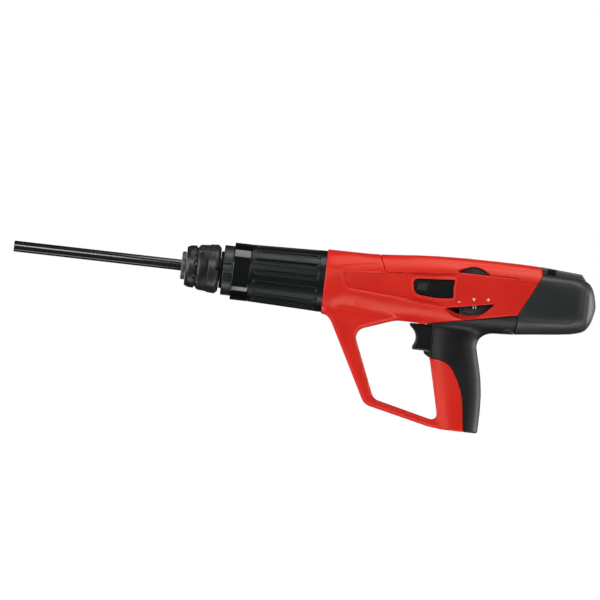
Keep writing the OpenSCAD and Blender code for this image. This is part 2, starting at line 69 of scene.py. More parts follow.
# ---------------------------------------------------------------- distance fields


class Space:
    """A block of points, in millimetres, on which distance fields are worked out."""

    def __init__(self, low, high, step):
        counts = [int(math.ceil((b - a) / step)) + 1 for a, b in zip(low, high)]
        axes = [a + step * np.arange(n, dtype=np.float32) for a, n in zip(low, counts)]
        self.low = np.array(low, float)
        self.step = step
        self.counts = np.array(counts)
        self.x, self.y, self.z = np.meshgrid(*axes, indexing="ij", sparse=True)

    def sample(self, field, points):
        """The field's value at free points, by straight-line interpolation."""
        q = (points - self.low) / self.step
        i = np.clip(np.floor(q).astype(int), 0, self.counts - 2)
        f = q - i
        total = 0.0
        for corner in np.ndindex(2, 2, 2):
            weight = np.prod(np.where(corner, f, 1 - f), axis=1)
            total = total + weight * field[tuple((i + corner).T)]
        return total

    def slopes(self, field, points):
        """Unit normals of the field at free points."""
        normal = np.zeros((len(points), 3))
        for axis in range(3):
            shift = np.zeros(3)
            shift[axis] = 0.6 * self.step
            normal[:, axis] = self.sample(field, points + shift) - self.sample(field, points - shift)
        return normal / np.maximum(np.linalg.norm(normal, axis=1, keepdims=True), 1e-9)


def join(a, b, k=0.0):
    """Union of two fields, with a fillet of about k."""
    if k <= 0:
        return np.minimum(a, b)
    h = np.maximum(k - np.abs(a - b), 0) / k
    return np.minimum(a, b) - h * h * k / 4


def cut(a, b, k=0.0):
    """Intersection of two fields, with an edge rounded by about k."""
    return -join(-a, -b, k)


def carve(a, b, k=0.0):
    """a without b."""
    return cut(a, -b, k)


def step_up(value, width):
    """0 below -width / 2, 1 above width / 2, smooth between."""
    t = np.clip(value / width + 0.5, 0, 1)
    return t * t * (3 - 2 * t)


def arc_corner(a, b, c, r):
    """The arc of radius r that rounds corner b between neighbours a and c."""
    a, b, c = (np.array(p[:2], float) for p in (a, b, c))
    u = (a - b) / np.linalg.norm(a - b)
    v = (c - b) / np.linalg.norm(c - b)
    half = math.acos(np.clip(u @ v, -1, 1)) / 2
    centre = b + (u + v) / np.linalg.norm(u + v) * r / math.sin(half)
    start = b + u * r / math.tan(half) - centre
    end = b + v * r / math.tan(half) - centre
    a0 = math.atan2(start[1], start[0])
    turn = (math.atan2(end[1], end[0]) - a0 + math.pi) % (2 * math.pi) - math.pi
    steps = max(3, math.ceil(abs(math.degrees(turn)) / ARC_STEP))
    angles = a0 + turn * np.arange(steps + 1) / steps
    return [tuple(centre + r * np.array([math.cos(t), math.sin(t)])) for t in angles]


def outline(corners):
    """A closed outline from corners (u, v, radius)."""
    points = []
    for i, p in enumerate(corners):
        if p[2] == 0:
            points.append((p[0], p[1]))
        else:
            points += arc_corner(corners[i - 1], p, corners[(i + 1) % len(corners)], p[2])
    return points


def outline_distance(points, u, v):
    """Signed distance from each (u, v) to a closed outline, negative inside."""
    u, v = np.broadcast_arrays(u, v)
    nearest = np.full(u.shape, 1e9)
    inside = np.zeros(u.shape, bool)
    for (au, av), (bu, bv) in zip(points, points[1:] + points[:1]):
        du, dv = bu - au, bv - av
        length = du * du + dv * dv
        if length < 1e-12:
            continue
        t = np.clip(((u - au) * du + (v - av) * dv) / length, 0, 1)
        nearest = np.minimum(nearest, (u - au - t * du) ** 2 + (v - av - t * dv) ** 2)
        if dv != 0:
            inside ^= ((av > v) != (bv > v)) & (u < du * (v - av) / dv + au)
    return (np.sqrt(nearest) * np.where(inside, -1, 1)).astype(np.float32)


def side(space, corners):
    """Distance to an outline drawn in the side view, the same at every y."""
    return outline_distance(outline(corners), space.x, space.z)


def slab(face, depth, half, r):
    """An outline's field thickened to +-half about depth = 0, its edges rounded by r."""
    a = face + r
    b = np.abs(depth) - half + r
    outside = np.sqrt(np.maximum(a, 0) ** 2 + np.maximum(b, 0) ** 2)
    return outside + np.minimum(np.maximum(a, b), 0) - r


def block(space, x, y, z, r=0.0):
    """A box field from (low, high) pairs, its edges rounded by r."""
    far = 0.0
    near = -1e9
    for points, (low, high) in zip((space.x, space.y, space.z), (x, y, z)):
        d = np.abs(points - (low + high) / 2) - (high - low) / 2 + r
        far = far + np.maximum(d, 0) ** 2
        near = np.maximum(near, d)
    return np.sqrt(far) + np.minimum(near, 0) - r


def rod(a, b, centre, r):
    """A round rod without ends, across the plane of a and b."""
    return np.hypot(a - centre[0], b - centre[1]) - r


def smooth_rows(rows, at, spread=9.0):
    """Columns of rows, read at places `at` along the first column and eased over `spread`."""
    rows = np.array(rows, float)
    fine = np.linspace(rows[0, 0], rows[-1, 0], EASING_STEPS)
    pad = max(3, int(spread / (fine[1] - fine[0])))
    window = np.hanning(pad + 2)[1:-1]
    window /= window.sum()
    columns = []
    for k in range(1, rows.shape[1]):
        line = np.interp(fine, rows[:, 0], rows[:, k])
        before = 2 * line[0] - line[pad:0:-1]
        after = 2 * line[-1] - line[-2:-pad - 2:-1]
        eased = np.convolve(np.concatenate([before, line, after]), window, "same")[pad:-pad]
        columns.append(np.interp(at, fine, eased).astype(np.float32))
    return columns


def tapered(shape, step, floor):
    """A rough field scaled by its slope, so that it measures distance near its surface."""
    slopes = np.gradient(shape, step)
    steepness = np.sqrt(slopes[0] ** 2 + slopes[1] ** 2 + slopes[2] ** 2)
    return (shape / np.maximum(steepness, floor)).astype(np.float32)


# ---------------------------------------------------------------- meshes


def new_object(name, mesh):
    """A mesh's object, in the scene."""
    piece = bpy.data.objects.new(name, mesh)
    bpy.context.scene.collection.objects.link(piece)
    return piece


def mesh_of(name, points, faces):
    """A mesh from points in the row frame and faces of their numbers."""
    mesh = bpy.data.meshes.new(name)
    mesh.from_pydata([tuple(p) for p in points], [], [tuple(f) for f in faces])
    mesh.validate()
    mesh.update()
    return mesh


def applied(piece):
    """The piece with its modifiers made permanent."""
    graph = bpy.context.evaluated_depsgraph_get()
    mesh = bpy.data.meshes.new_from_object(piece.evaluated_get(graph))
    piece.modifiers.clear()
    piece.data = mesh
    return piece


def skin(name, space, field, keep=0.4):
    """The field's zero surface as a piece, thinned to a share of its faces."""
    grid = openvdb.FloatGrid(background=3.0)
    grid.copyFromArray(np.ascontiguousarray(np.clip(field, -3, 3), dtype=np.float32))
    points, quads = grid.convertToQuads()
    local = space.low + points * space.step
    mesh = mesh_of(name, place(local), quads.tolist())
    piece = new_object(name, mesh)
    if keep < 1:
        thin = piece.modifiers.new("thin", "DECIMATE")
        thin.ratio = keep
        applied(piece)
    mesh = piece.data
    at = np.zeros(len(mesh.vertices) * 3, np.float32)
    mesh.vertices.foreach_get("co", at)
    local = (at.reshape(-1, 3) - ORIGIN) / MM
    mesh.shade_smooth()
    mesh.normals_split_custom_set_from_vertices(space.slopes(field, local).tolist())
    return piece


def turned(name, profile, relief=None, sides=144, spacing=1.2):
    """A closed ring swept about the barrel axis from a profile of corners (x, r, rounding).

    relief(x, angle) is taken off the radius of the points on the profile's outer side."""
    loop = outline(profile)
    fine = []
    for (ax, ar), (bx, br) in zip(loop, loop[1:] + loop[:1]):
        parts = max(1, int(math.hypot(bx - ax, br - ar) / spacing)) if relief else 1
        fine += [(ax + (bx - ax) * i / parts, ar + (br - ar) * i / parts) for i in range(parts)]
    line = np.array(fine)
    angles = 2 * math.pi * np.arange(sides) / sides
    x = np.repeat(line[:, :1], sides, axis=1)
    r = np.repeat(line[:, 1:], sides, axis=1)
    if relief:
        outer = step_up(r - (line[:, 1].max() + line[:, 1].min()) / 2, 2)
        r = r - outer * relief(x, np.broadcast_to(angles, x.shape))
    points = np.stack([x, r * np.cos(angles), r * np.sin(angles)], 2).reshape(-1, 3)
    rows, faces = len(line), []
    for i in range(rows):
        for j in range(sides):
            k, m = (i + 1) % rows, (j + 1) % sides
            faces.append((i * sides + j, i * sides + m, k * sides + m, k * sides + j))
    mesh = mesh_of(name, place(points), faces)
    mesh.shade_smooth()
    piece = new_object(name, mesh)
    turn_outwards(piece)
    piece.modifiers.new("weights", "WEIGHTED_NORMAL").keep_sharp = True
    return applied(piece)


def turn_outwards(piece):
    """Flips a closed mesh that is inside out."""
    volume = 0.0
    for face in piece.data.polygons:
        p = [piece.data.vertices[v].co for v in face.vertices]
        for a, b in zip(p[1:], p[2:]):
            volume += p[0].dot(a.cross(b))
    if volume < 0:
        piece.data.flip_normals()


def finish_piece(piece, body, slot, look, *replaced):
    """Gives a piece its look and its body, and hides the CAD nodes it stands for; slot is not used."""
    piece.data.materials.clear()
    piece.data.materials.append(look)
    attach(piece, body)
    if replaced:
        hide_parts(*replaced)
    return piece


# ---------------------------------------------------------------- materials


# Repeats per metre of the soft patches, and the part of their noise that is spread over a range
PATCH_SCALE = 28
PATCH_LOW, PATCH_HIGH = 0.3, 0.7
# Height of the grain in metres, and how far brushing draws it out along the barrel
GRAIN_HEIGHT = 0.0002
BRUSHING = (0.06, 1, 1)


def material(name, colour, roughness, metallic=0.0, grain=0.2, grain_size=0.4, tint=0.06,
             specular=0.5, specular_tint=(1, 1, 1), coat=0.0, coat_roughness=0.1, smudge=0.08,
             brushed=False):
    """A shader with uneven colour and roughness and a fine moulded or machined grain.

    tint and smudge say how far colour and roughness vary from patch to patch."""
    made = bpy.data.materials.new(name)
    made.use_nodes = True
    nodes, links = made.node_tree.nodes, made.node_tree.links
    shader = nodes["Principled BSDF"]
    shader.inputs["Metallic"].default_value = metallic
    shader.inputs["Specular IOR Level"].default_value = specular
    shader.inputs["Specular Tint"].default_value = (*specular_tint, 1)
    shader.inputs["Coat Weight"].default_value = coat
    shader.inputs["Coat Roughness"].default_value = coat_roughness
    where = nodes.new("ShaderNodeTexCoord")

    patches = nodes.new("ShaderNodeTexNoise")
    patches.inputs["Scale"].default_value = PATCH_SCALE
    patches.inputs["Detail"].default_value = 5
    links.new(where.outputs["Object"], patches.inputs["Vector"])
    shades = nodes.new("ShaderNodeValToRGB")
    dark, light = shades.color_ramp.elements
    dark.position, light.position = PATCH_LOW, PATCH_HIGH
    dark.color = (*[c * (1 - tint) for c in colour], 1)
    light.color = (*[min(1, c * (1 + tint)) for c in colour], 1)
    links.new(patches.outputs["Fac"], shades.inputs["Fac"])
    links.new(shades.outputs["Color"], shader.inputs["Base Color"])

    gloss = nodes.new("ShaderNodeMapRange")
    gloss.inputs["From Min"].default_value = PATCH_LOW
    gloss.inputs["From Max"].default_value = PATCH_HIGH
    gloss.inputs["To Min"].default_value = max(0.02, roughness - smudge)
    gloss.inputs["To Max"].default_value = min(1, roughness + smudge)
    links.new(patches.outputs["Fac"], gloss.inputs["Value"])
    links.new(gloss.outputs["Result"], shader.inputs["Roughness"])

    add_grain(made, where, shader, grain, grain_size, brushed)
    return made


def add_grain(made, where, shader, strength, size, brushed):
    """Adds a bump of the given strength and width in millimetres, drawn out when brushed."""
    nodes, links = made.node_tree.nodes, made.node_tree.links
    stretch = nodes.new("ShaderNodeMapping")
    stretch.inputs["Scale"].default_value = BRUSHING if brushed else (1, 1, 1)
    links.new(where.outputs["Object"], stretch.inputs["Vector"])
    texture = nodes.new("ShaderNodeTexNoise")
    texture.inputs["Scale"].default_value = 1000 / size / 2
    texture.inputs["Detail"].default_value = 3
    links.new(stretch.outputs["Vector"], texture.inputs["Vector"])
    raised = nodes.new("ShaderNodeBump")
    raised.inputs["Strength"].default_value = strength
    raised.inputs["Distance"].default_value = GRAIN_HEIGHT
    links.new(texture.outputs["Fac"], raised.inputs["Height"])
    links.new(raised.outputs["Normal"], shader.inputs["Normal"])


RED = material("red_plastic", (0.7, 0.018, 0.012), 0.4, grain_size=0.5,
               specular_tint=(1, 0.62, 0.4))
GRIP = material("grip_plastic", (0.006, 0.0065, 0.007), 0.48, grain=0.5, grain_size=0.6,
                specular=0.3)
CAP_PLASTIC = material("cap_plastic", (0.017, 0.0195, 0.02), 0.46, grain=0.45, grain_size=0.6,
                       specular=0.48)
COLLAR = material("collar_grey", (0.08, 0.084, 0.082), 0.4)
STRIP = material("strip_plastic", (0.085, 0.085, 0.082), 0.5, grain=0.3)
SLEEVE = material("sleeve_polymer", (0.003, 0.005, 0.0056), 0.31, grain_size=0.5, specular=0.3)
NUT = material("nut_polymer", (0.009, 0.01, 0.01), 0.4, grain=0.4, grain_size=0.6, specular=0.6)
SOCKET = material("socket_metal", (0.05, 0.055, 0.058), 0.38, metallic=0.8, grain=0.25)
GLOSS = material("gloss_black", (0.0012, 0.0016, 0.0014), 0.1, grain=0.01, coat=0.4,
                 coat_roughness=0.05, smudge=0.03, specular=0.4)
TUBE = material("blued_steel", (0.004, 0.006, 0.0055), 0.16, grain=0.06, brushed=True, coat=0.5,
                smudge=0.04)
CONTROL = material("control_black", (0.003, 0.0055, 0.0045), 0.34, specular=0.36)
WHEEL_PLASTIC = material("wheel_plastic", (0.013, 0.012, 0.011), 0.36)
STEEL = material("bright_steel", (0.5, 0.51, 0.53), 0.3, metallic=1, grain=0.15, brushed=True)
CASTING = material("casting", (0.42, 0.43, 0.45), 0.45, metallic=1, grain=0.5, grain_size=0.8)
SPRING = material("spring_steel", (0.55, 0.55, 0.57), 0.25, metallic=1, grain=0.1, brushed=True)
RUBBER = material("buffer_rubber", (0.02, 0.02, 0.02), 0.7, grain=0.5)
BOARD = material("circuit_green", (0.01, 0.12, 0.04), 0.4)
SCREW = material("screw_steel", (0.04, 0.04, 0.042), 0.35, metallic=0.9, grain=0.15)
LENS = material("lens", (0.006, 0.007, 0.009), 0.12, grain=0.01, coat=0.5, smudge=0.03)
WHITE = material("white_mark", (0.8, 0.68, 0.66), 0.5, grain=0.1, tint=0.03)

HIDDEN_NODES = {
    STEEL: ["piston_guide", "stop_ring", "piston", "piston_rings", "cartridge_rails",
            "cartridge_plates", "feed_pawl", "striker_tube", "striker_plug", "striker", "sear",
            "sear_pin", "trigger_bar", "wheel_axle", "battery"],
    CASTING: ["unit_carrier", "main_frame"],
    SPRING: ["return_spring", "striker_spring", "trigger_spring", "release_spring"],
    RUBBER: ["piston_buffer"],
    BOARD: ["controller_board"],
    SCREW: ["housing_screws", "grip_screws", "cap_screws"],
}
for hidden_look, hidden_names in HIDDEN_NODES.items():
    for hidden_name in hidden_names:
        hidden_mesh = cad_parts[hidden_name].data
        hidden_mesh.materials.clear()
        hidden_mesh.materials.append(hidden_look)


# ---------------------------------------------------------------- outlines of the body

# (x, top, bottom, half width, squareness of the upper half)
BODY_ROWS = [
    (300, 32.4, -32.4, 32.5, 2), (312, 32.4, -32.4, 32.6, 2), (322, 32.5, -32.5, 33, 2.4),
    (338, 32.6, -32.6, 33.6, 2.9), (356, 32.8, -32.4, 34, 3), (372, 33.8, -31.6, 34, 3),
    (390, 35.4, -30.4, 34, 3.2), (402, 36.6, -30.2, 34, 3.6), (425, 38.1, -31.2, 34, 3.8),
    (450, 39, -32.6, 34, 3.8), (480, 39.3, -33, 33.6, 3.8), (505, 39.3, -31.6, 33, 3.6),
    (527, 38.8, -29, 32, 3.4), (560, 37, -25.5, 30, 3),
]
CAP_ROWS = [
    (480, 33, -33, 33.6, 4.6), (505, 32.4, -31.6, 33, 4.6), (527, 32.3, -29, 32, 4.6),
    (550, 32, -26.5, 31, 4.4), (562, 31.6, -24.8, 30, 4), (568, 31, -23.4, 29, 3.5),
    (573, 29.4, -21.8, 27.4, 3.1), (577, 26.8, -19.2, 25, 2.8), (580, 22.6, -15, 21.6, 2.6),
    (582, 17.5, -10.4, 17.4, 2.5), (583.4, 12.4, -4.6, 12, 2.4), (584.4, 8, -0.4, 6, 2.2),
]
# Lengths along x over which the rows of the body and of the cap are eased
BODY_EASING = 9
CAP_EASING = 1.5
# Where the side turns into the shoulder and into the lower slope (x, z), and how far they lean
SHOULDER = [
    (312, 14), (318, 14), (340, 15.2), (366, 18.6), (400, 22.6), (430, 24.4), (527, 24.6), (560, 24),
]
SLOPE = [
    (312, -15), (322, -14), (332, -9.6), (345, -9), (380, -12.4), (410, -15.4), (430, -17.4),
    (470, -19.4), (515, -18.4), (560, -16),
]
LOWER_SQUARENESS = 2.5
SHOULDER_LEAN = math.radians(38)
SLOPE_LEAN = math.radians(35)
# Fine ridge along the front shoulder, and the valley along the cover (x, z)
RIDGE = [(312, 16.5), (322, 17.6), (340, 21.4), (366, 25.4), (400, 28.6)]
VALLEY_Z = 32
# (z, front, rear, half width), and how squared-off the ovals are
GRIP_POWER = 2.5
GRIP_ROWS = [
    (-140, 444.5, 481.2, 17.2), (-133, 443, 481.4, 17.2), (-112, 438, 481.6, 17.5),
    (-95, 434, 480.8, 17.8), (-80, 430.4, 478.7, 18), (-68, 427.5, 476, 18), (-57, 425, 473, 17.8),
    (-47, 424, 470.6, 17.3), (-40, 423.6, 472.2, 17), (-34, 423.4, 478, 17), (-24, 423.4, 488, 17.5),
    (-10, 424, 492, 17.5),
]
# (z, half width)
GUARD_ROWS = [(-135, 10.5), (-110, 10.5), (-75, 12), (-50, 16.5), (-30, 23), (-24, 24)]
GUARD_OUTER = [
    (316, -12, 0), (312.6, -29.6, 0), (322, -35.8, 22), (365.4, -117.4, 13), (440, -134.2, 70),
    (462, -134, 0), (462, -112, 0), (437, -112, 0), (425, -60, 0), (424, -12, 0),
]
GUARD_HOLE = [
    (347, -45.4, 10), (374.4, -111, 10), (443.2, -127.2, 7), (425.6, -58, 0),
    (425.2, -29.8, 0), (389.5, -29.8, 12),
]
TOE = [(417.5, -63.4, 0), (427, -63.8, 4), (446, -66.3, 22), (461.5, -94, 60), (467.8, -140, 0)]
RED_REGION = [
    (300, 60, 0), (525, 60, 0), (525, 39.5, 0), (527.6, 28, 1.5), (507.6, -12, 1),
    (424.6, -29, 4), (417.5, -31, 0), *TOE, (300, -140, 0),
]
CAP_REGION = [
    (508, -20, 3), (507.6, -12, 0), (527.6, 28, 1.5), (525, 39.5, 0), (525, 60, 0), (600, 60, 0),
    (600, -60, 0), (506.3, -60, 0), (506.3, -30, 3),
]
COVER_REGION = [
    (363.5, 60, 0), (364.3, 35, 0), (371.8, 16.4, 2.5), (441, 21, 12), (448, 24.4, 8),
    (504.5, 24.4, 0), (504.5, 21, 0.6), (540, 21, 0), (540, 60, 0),
]
BUTTON_WINDOW = [
    (400, 13, 4.5), (441.9, 16.2, 1.5), (440.8, 8, 6), (442, -1.4, 1.5), (437, -3.2, 6),
    (424, -3.8, 20), (403, -2.4, 8),
]
# The lip of the grip below the trigger
LIP_REGION = [
    (418.4, -57.6, 0), (419.8, -60.6, 1.5), (428, -65.5, 4), (440, -70, 0), (440, -57.6, 0),
]
# The skirt that hides the trigger's top
SKIRT = [(409.5, -28, 0), (412.5, -31.1, 1.5), (430, -31.5, 0), (430, -26, 0)]
# The top of the flat gusset between the body and the guard (x, z)
GUSSET = [(322, -22.6), (330, -23.1), (388, -28.2)]
# The sunk side panel; its top follows the cover's seam and its right end fades out
PANEL = [
    (330.4, 12.2, 2.5), (334, -4.4, 7), (378, -7.2, 0), (430, -10.6, 0), (443, -11, 0), (443, 20.6, 0),
    (371.4, 16, 1),
]
WHEEL = (461, 6.75)
WHEEL_RADIUS = 23.3
UPPER_WINDOW = [(443.7, 24.2, 0.3), (460.6, 31.3, 15), (476.2, 24.2, 0.3)]
# Arcs of the lower window and of the scoop round it (centre, radius), and the window's lower
# edge (x, z, rise along x)
LOWER_ARC = ((455.7, 17.9), 35.4)
SCOOP_ARC = ((455.4, 8.6), 30.7)
LOWER_EDGE = (437.5, -12.4, 9 / 46.5)
PANEL_DEPTH = 1.4
SCOOP_DEPTH = 3.6
SCOOP_SLOPE = 1.3
# The y inside which the windows of the button and of the wheel aren't cut
BUTTON_WINDOW_Y, LOWER_WINDOW_Y, UPPER_WINDOW_Y = -20, -18, -14
# Where the body begins, and the bore in its mouth in which the front unit slides
MOUTH_X = 312.2
MOUTH_BORE = 31.25
MOUTH_BORE_END = 352
FLOOR_Z = -29.3
WALL = 2.6
GRIP_WALL = 3
# Half the gap at a seam, and the rounding of its edges
SEAM = 0.2
SEAM_ROUND = 0.45
# How far the shells reach past a seam behind the surface
TONGUE = 1.7
FOOT_Z = -133.8
CAP_SCREW_X = 500
CAP_SCREW_Y = (-15, 15)
BOSS_RADIUS = 5
POCKET_RADIUS = 3.5
# How far the floor of a screw's pocket lies below the top of its boss
POCKET_FLOOR = 2.3
SHELL_STEP = 0.68
# The screws across the tool (x, z, top of the boss along y)
SCREWS = [
    (340, -48, 9.5), (368.3, -110.8, 9.5), (430, -127.3, 9.5), (497, 17, 30),
    (470.5, -66, 14.5), (473, -120, 14.5), (487, -19.6, 27),
]


def along(points, at):
    """A line of (x, value) points read at x."""
    return np.interp(at, *zip(*points)).astype(np.float32)


def body_field(space, rows, spread):
    """A loft along x through squared-off ovals, its sides cut by the shoulder and the lower slope."""
    top, bottom, half, power = smooth_rows(rows, space.x, spread)
    middle, reach = (top + bottom) / 2, np.maximum((top - bottom) / 2, 0.4)
    power = np.where(space.z > middle, power, np.minimum(power, LOWER_SQUARENESS))
    a = (np.abs(space.y) / half) ** power
    b = (np.abs(space.z - middle) / reach) ** power
    past = np.maximum(space.x - rows[-1][0], 0) * 2
    body = tapered((a + b) ** (1 / power) - 1 + past, space.step, 0.018)
    out = np.abs(space.y) - half + 0.3
    high, low = along(SHOULDER, space.x), along(SLOPE, space.x)
    shoulder = out * math.cos(SHOULDER_LEAN) + (space.z - high) * math.sin(SHOULDER_LEAN)
    slope = out * math.cos(SLOPE_LEAN) + (low - space.z) * math.sin(SLOPE_LEAN)
    return cut(cut(body, shoulder, 2.2), slope, 2.2)


def bump(value, width):
    """A smooth swelling 1 high where value is 0."""
    return np.exp(-(value / width) ** 2)


def grip_field(space):
    """A loft along z through squared-off ovals."""
    front, rear, half = smooth_rows(GRIP_ROWS, space.z, 7)
    a = (np.abs(space.x - (front + rear) / 2) / ((rear - front) / 2)) ** GRIP_POWER
    b = (np.abs(space.y) / half) ** GRIP_POWER
    return tapered((a + b) ** (1 / GRIP_POWER) - 1, space.step, 0.03)


def guard_field(space):
    """The hand guard: a plate that widens towards the body, its edges well rounded."""
    face = carve(side(space, GUARD_OUTER), side(space, GUARD_HOLE), 1)
    half = np.interp(space.z, *zip(*GUARD_ROWS))
    narrowing = 8 * step_up(space.x - 390, 24) * step_up(space.z + 42, 10)
    return slab(face, np.abs(space.y) - (half - narrowing).astype(np.float32) + 12, 12, 4.5)


def wheel_windows(space):
    """The lower and upper opening over the power wheel, and the height above the lower's edge."""
    edge_x, edge_z, rise = LOWER_EDGE
    above = (space.z - edge_z) - (space.x - edge_x) * rise
    low = cut(rod(space.x, space.z, *LOWER_ARC), above, 0.4)
    return low, side(space, UPPER_WINDOW), above


def both_relief(space):
    """How far the surface is sunk on both sides, in mm: the side panel, ridges and valley."""
    panel = side(space, PANEL)
    depth = PANEL_DEPTH * step_up(-panel, 1.4) * step_up(431 - space.x, 20)
    lip = 0.5 * bump(panel - 1.0, 1.0) * step_up(8 - space.z, 6) * step_up(434 - space.x, 6)
    ridge = 0.45 * bump(space.z - along(RIDGE, space.x), 1.1)
    ridge = ridge * step_up(space.x - 319, 4) * step_up(366 - space.x, 8)
    crease = 0.45 * bump(space.z - along(GUSSET, space.x), 0.9)
    crease = crease * step_up(space.x - 330, 6) * step_up(386 - space.x, 8)
    valley = 0.4 * bump(space.z - VALLEY_Z, 1.3) * step_up(space.x - 402, 2)
    return depth - lip - ridge - crease + valley


def left_relief(space, both):
    """How far the left side is sunk: both sides' relief, the bezel and the wheel's scoops."""
    window = side(space, BUTTON_WINDOW)
    bezel = step_up(2.0 - window, 1.0)
    swell = 0.5 + 0.5 * bump(window - 1.1, 0.9)
    depth = both * (1 - bezel) - swell * bezel
    _, high, above = wheel_windows(space)
    scoop = np.clip(-SCOOP_SLOPE * rod(space.x, space.z, *SCOOP_ARC), 0, SCOOP_DEPTH)
    inside = step_up(-above, 0.8) * step_up(scoop - 0.1, 0.6)
    depth = depth * (1 - inside) + scoop * inside
    crescent = np.clip(SCOOP_SLOPE * (1.8 - high), 0, SCOOP_DEPTH)
    inside = step_up(space.z - 24.2, 0.6) * step_up(crescent - 0.1, 0.6)
    return depth * (1 - inside) + crescent * inside


def whole_shell(space):
    """The body's surface, the grip, and body, guard and grip as one blended solid."""
    plain = body_field(space, BODY_ROWS, BODY_EASING)
    both = both_relief(space)
    relief = np.where(space.y < 0, left_relief(space, both), both)
    relief = relief * step_up(np.abs(space.y) - 14, 8)
    grip = grip_field(space)
    relieved = plain + relief
    shell = join(relieved, guard_field(space), 2.0)
    shell = join(shell, cut(grip, space.z + 20, 2), 5.0)
    lip = slab(side(space, LIP_REGION), space.y, 9, 2)
    skirt = slab(side(space, SKIRT), space.y, 13.5, 2)
    shell = join(join(shell, lip, 2.5), skirt, 2)
    for y in CAP_SCREW_Y:
        boss = slab(rod(space.x, space.y, (CAP_SCREW_X, y), BOSS_RADIUS), space.z + 28, 2.8, 0.8)
        shell = join(shell, boss, 2)
    return np.maximum(relieved, plain), grip, cut(shell, FOOT_Z - space.z, 2.5)


def hollow(space, surface, grip):
    """Everything inside the shells that stays free."""
    above_floor = np.where(space.x < 470, FLOOR_Z - space.z, -50).astype(np.float32)
    inside = cut(cut(surface + WALL, above_floor, 1), 335 - space.x)
    wheel_well = rod(space.x, space.z, WHEEL, WHEEL_RADIUS + 0.5)
    rooms = {
        "grip": cut(grip + GRIP_WALL, np.maximum(space.z + 24, -130 - space.z)),
        "front unit": np.maximum(rod(space.y, space.z, (0, 0), MOUTH_BORE), space.x - MOUTH_BORE_END),
        "cartridge guide": block(space, (449.4, 464.2), (-6.4, 6.4), (-150, 60)),
        "trigger": block(space, (405, 442), (-9.3, 9.3), (-57.5, -30.7)),
        "trigger bar": block(space, (425, 442), (-9.3, 9.3), (-57.4, -20)),
        "power wheel": np.maximum(wheel_well, np.maximum(space.y, -29 - space.y)),
    }
    for room in rooms.values():
        inside = np.minimum(inside, room)
    return inside


def seam_tongue(surface):
    """How far the red shells reach past their seams behind the surface, so that no light passes."""
    return TONGUE * step_up(-1.5 - surface, 0.5)


def screw_pockets(space, shell):
    """The pockets of the screws across the tool, and of the cap's two screws from below."""
    for x, z, top in SCREWS:
        pocket = rod(space.x, space.z, (x, z), POCKET_RADIUS)
        shell = carve(shell, np.maximum(pocket, top - POCKET_FLOOR - space.y), 0.5)
    for y in CAP_SCREW_Y:
        pocket = rod(space.x, space.y, (CAP_SCREW_X, y), POCKET_RADIUS)
        shell = carve(shell, np.maximum(pocket, space.z + 28.2), 0.5)
    return shell


def build_shells():
    """The red housing's two halves, the top cover, and the grip's two halves."""
    space = Space((308, -37, -137), (532, 37, 43), SHELL_STEP)
    surface, grip, whole = whole_shell(space)
    inside = hollow(space, surface, grip)
    tongue = seam_tongue(whole)
    low, high, _ = wheel_windows(space)
    whole = screw_pockets(space, whole)
    windows = (
        (side(space, BUTTON_WINDOW), BUTTON_WINDOW_Y), (low, LOWER_WINDOW_Y), (high, UPPER_WINDOW_Y),
    )
    for window, inner_y in windows:
        whole = carve(whole, np.maximum(window, space.y - inner_y), 0.5)

    red = side(space, RED_REGION) - tongue
    cover = side(space, COVER_REGION) + tongue
    cap = side(space, CAP_REGION) + tongue
    halves = (("left", space.y + 0.1), ("right", 0.1 - space.y))
    red_part = cut(whole, red + SEAM, SEAM_ROUND)
    housing = cut(red_part, SEAM - cover, SEAM_ROUND)
    housing = carve(cut(housing, MOUTH_X - space.x, 1.6), inside)
    for name, half in halves:
        piece = skin("shell_" + name, space, cut(housing, half, 0.5))
        finish_piece(piece, "housing", "red_plastic", RED, "housing_" + name)

    lid = carve(cut(red_part, cover + SEAM, SEAM_ROUND), inside)
    finish_piece(skin("cover_shell", space, lid), "housing", "red_plastic", RED, "top_cover")

    black = cut(cut(whole, SEAM - red, SEAM_ROUND), SEAM - cap, SEAM_ROUND)
    black = carve(black, inside)
    for name, half in halves:
        piece = skin("grip_shell_" + name, space, cut(black, half, 0.5))
        finish_piece(piece, "housing", "grip_plastic", GRIP, "grip_" + name)


def build_marks():
    """Minus, pointer and plus beside the power wheel, printed on the wall."""
    bar = [(446.7, -5.9, 0), (449.7, -5.5, 0), (449.7, -4.6, 0), (446.7, -5, 0)]
    pointer = [(460.7, 0, 0), (464.3, 0.3, 0), (462.7, -3.3, 0)]
    flat = [(475.1, -0.4, 0), (478.5, 0, 0), (478.5, 0.9, 0), (475.1, 0.5, 0)]
    upright = [(476.4, -1.7, 0), (477.3, -1.6, 0), (477.3, 2, 0), (476.4, 1.9, 0)]
    marks = {"mark_minus": [bar], "mark_pointer": [pointer], "mark_plus": [flat, upright]}
    ink_depth = 0.14
    space = Space((443, -36, -8), (482, -30, 6), 0.25)
    wall = body_field(space, BODY_ROWS, BODY_EASING)
    for name, shapes in marks.items():
        face = np.minimum.reduce([side(space, shape) for shape in shapes])
        ink = np.maximum(face, np.abs(wall) - ink_depth)
        finish_piece(skin(name, space, ink, 1), "housing", "red_plastic", WHITE)


